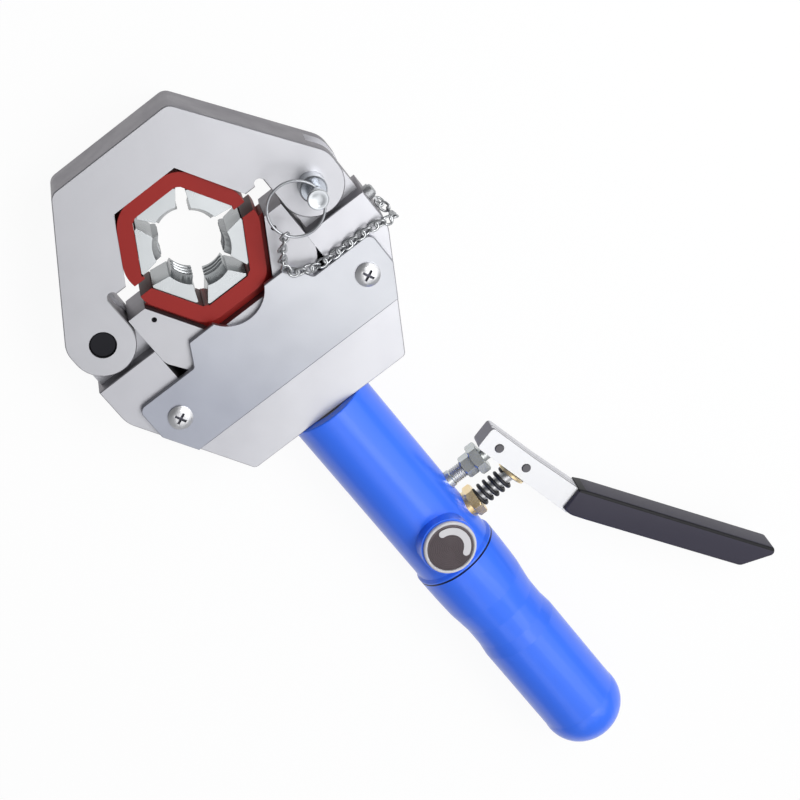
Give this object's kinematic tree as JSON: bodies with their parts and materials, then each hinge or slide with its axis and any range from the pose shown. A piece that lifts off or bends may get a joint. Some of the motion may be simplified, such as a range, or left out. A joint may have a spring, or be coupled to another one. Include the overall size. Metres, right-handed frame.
{
  "type": "hydraulic hose crimper",
  "caption": "Hand-held hydraulic hose crimper with a swing-open hexagonal head, a segmented die set, a cylinder that doubles as the handle, and a side pump lever.",
  "frame": {"origin": "on the axis of the hose being crimped, halfway through the thickness of the head", "axes": "+X towards the pump lever and the lock pin, +Y from the handle to the top of the head, +Z out of the front face of the head"},
  "size_m": [0.2218, 0.4384, 0.065],
  "materials": {
    "head_steel": "satin plated steel",
    "plate_steel": "bright plated sheet",
    "screw_steel": "zinc plated",
    "grub_steel": "blackened steel",
    "pin_steel": "polished",
    "chain_zinc": "bright zinc",
    "carrier_red": "satin red",
    "segment_chrome": "bright machined steel",
    "ram_steel": "ground",
    "seal_rubber": "smooth black",
    "spring_steel": "dark spring steel",
    "valve_steel": "ground",
    "blue_paint": "gloss blue",
    "knob_white": "satin",
    "disc_steel": "turned",
    "label_white": "plain, no text",
    "zinc_steel": "bright zinc",
    "pump_steel": "ground",
    "brass": "machined",
    "grip_rubber": "satin moulded"
  },
  "bodies": {
    "frame": {"lower_frame": "head_steel", "front_cover_plate": "plate_steel", "rear_cover_plate": "plate_steel", "front_cover_screw_left": "screw_steel", "front_cover_screw_right": "screw_steel", "rear_cover_screw_left": "screw_steel", "rear_cover_screw_right": "screw_steel", "hinge_pin": "grub_steel", "cylinder_barrel": "blue_paint", "reservoir_handle": "blue_paint", "reservoir_bladder": "seal_rubber", "handle_seal": "seal_rubber", "plunger_seal": "seal_rubber", "delivery_check_ball": "valve_steel", "suction_check_ball": "valve_steel", "delivery_check_spring": "spring_steel", "suction_check_spring": "spring_steel", "delivery_check_plug": "valve_steel", "suction_check_plug": "valve_steel", "fulcrum_stud": "zinc_steel", "stud_lock_nut": "zinc_steel", "stud_adjusting_nut": "zinc_steel", "gland_nut": "brass", "fulcrum_pin": "grub_steel", "chain_anchor": "chain_zinc", "tether_chain": "chain_zinc", "plunger_spring": "spring_steel", "ram_return_spring": "spring_steel"},
    "yoke": {"yoke": "head_steel", "upper_die_carrier": "carrier_red", "die_segment_top": "segment_chrome"},
    "ram": {"pusher_block": "head_steel", "pusher_grub_screw_left": "grub_steel", "pusher_grub_screw_right": "grub_steel", "lower_die_carrier": "carrier_red", "die_segment_bottom": "segment_chrome", "piston_rod": "ram_steel", "piston": "ram_steel", "piston_seal": "seal_rubber"},
    "upper_left_segment": {"die_segment_upper_left": "segment_chrome"},
    "upper_right_segment": {"die_segment_upper_right": "segment_chrome"},
    "lower_left_segment": {"die_segment_lower_left": "segment_chrome"},
    "lower_right_segment": {"die_segment_lower_right": "segment_chrome"},
    "lock_pin": {"lock_pin": "pin_steel", "detent_ball_inner": "pin_steel", "detent_ball_outer": "pin_steel"},
    "lock_button": {"lock_button": "pin_steel"},
    "pull_ring": {"pull_ring": "pin_steel"},
    "lever": {"lever_channel": "zinc_steel", "lever_grip": "grip_rubber", "plunger_pin": "grub_steel"},
    "plunger": {"pump_plunger": "pump_steel"},
    "spring_seat": {"spring_seat_washer": "brass"},
    "release_knob": {"release_knob": "knob_white", "knob_disc": "disc_steel", "knob_label_pad": "label_white", "release_valve_stem": "valve_steel"}
  },
  "joints": [
    {"name": "yoke_swing", "type": "hinge", "parent": "frame", "child": "yoke", "pos_m": [-0.0655, -0.0165, 0], "axis": [0, 0, 1], "range_deg": [0, 38], "deforming": ["tether_chain"]},
    {"name": "ram_slide", "type": "slide", "parent": "frame", "child": "ram", "axis": [0, 1, 0], "range_m": [0, 0.0057], "stiffness_N_per_m": 4000, "springref_m": -0.002, "deforming": ["ram_return_spring"]},
    {"name": "upper_left_slide", "type": "slide", "parent": "yoke", "child": "upper_left_segment", "axis": [0.5, 0.866, 0], "range_m": [0, 0.00305]},
    {"name": "upper_right_slide", "type": "slide", "parent": "yoke", "child": "upper_right_segment", "axis": [-0.5, 0.866, 0], "range_m": [0, 0.00305]},
    {"name": "lower_left_slide", "type": "slide", "parent": "ram", "child": "lower_left_segment", "axis": [0.5, -0.866, 0], "range_m": [0, 0.00305]},
    {"name": "lower_right_slide", "type": "slide", "parent": "ram", "child": "lower_right_segment", "axis": [-0.5, -0.866, 0], "range_m": [0, 0.00305]},
    {"name": "lock_pin_slide", "type": "slide", "parent": "yoke", "child": "lock_pin", "axis": [0, 0, 1], "range_m": [-0.0145, 0.012], "deforming": ["tether_chain"]},
    {"name": "lock_button_press", "type": "slide", "parent": "lock_pin", "child": "lock_button", "axis": [0, 0, -1], "range_m": [0, 0.002], "stiffness_N_per_m": 500, "springref_m": -0.001},
    {"name": "ring_swing", "type": "hinge", "parent": "lock_pin", "child": "pull_ring", "pos_m": [0.0677, -0.0165, 0.0307], "axis": [0, 1, 0], "range_deg": [0, 30], "deforming": ["tether_chain"]},
    {"name": "lever_swing", "type": "hinge", "parent": "frame", "child": "lever", "pos_m": [0.055, -0.1977, 0], "axis": [0, 0, 1], "range_deg": [-25, 0], "stiffness_Nm_per_rad": 1.2, "springref_deg": 5.73},
    {"name": "plunger_slide", "type": "slide", "parent": "frame", "child": "plunger", "axis": [1, 0, 0], "range_m": [-0.0085, 0], "deforming": ["plunger_spring"]},
    {"name": "seat_rock", "type": "hinge", "parent": "plunger", "child": "spring_seat", "pos_m": [0.05129, -0.2165, 0], "axis": [0, 0, 1], "range_deg": [-25.1, 0]},
    {"name": "release_knob_turn", "type": "hinge", "parent": "frame", "child": "release_knob", "pos_m": [0, -0.215, 0], "axis": [0.1392, 0, 0.9903], "range_deg": [0, 90]}
  ],
  "couplings": [
    {"joint": "upper_left_slide", "follows": "ram_slide", "ratio": 0.5316},
    {"joint": "upper_right_slide", "follows": "ram_slide", "ratio": 0.5316},
    {"joint": "lower_left_slide", "follows": "ram_slide", "ratio": 0.5316},
    {"joint": "lower_right_slide", "follows": "ram_slide", "ratio": 0.5316},
    {"joint": "plunger_slide", "follows": "lever_swing", "m_per_rad": 0.019175},
    {"joint": "seat_rock", "follows": "lever_swing", "ratio": 1}
  ]
}
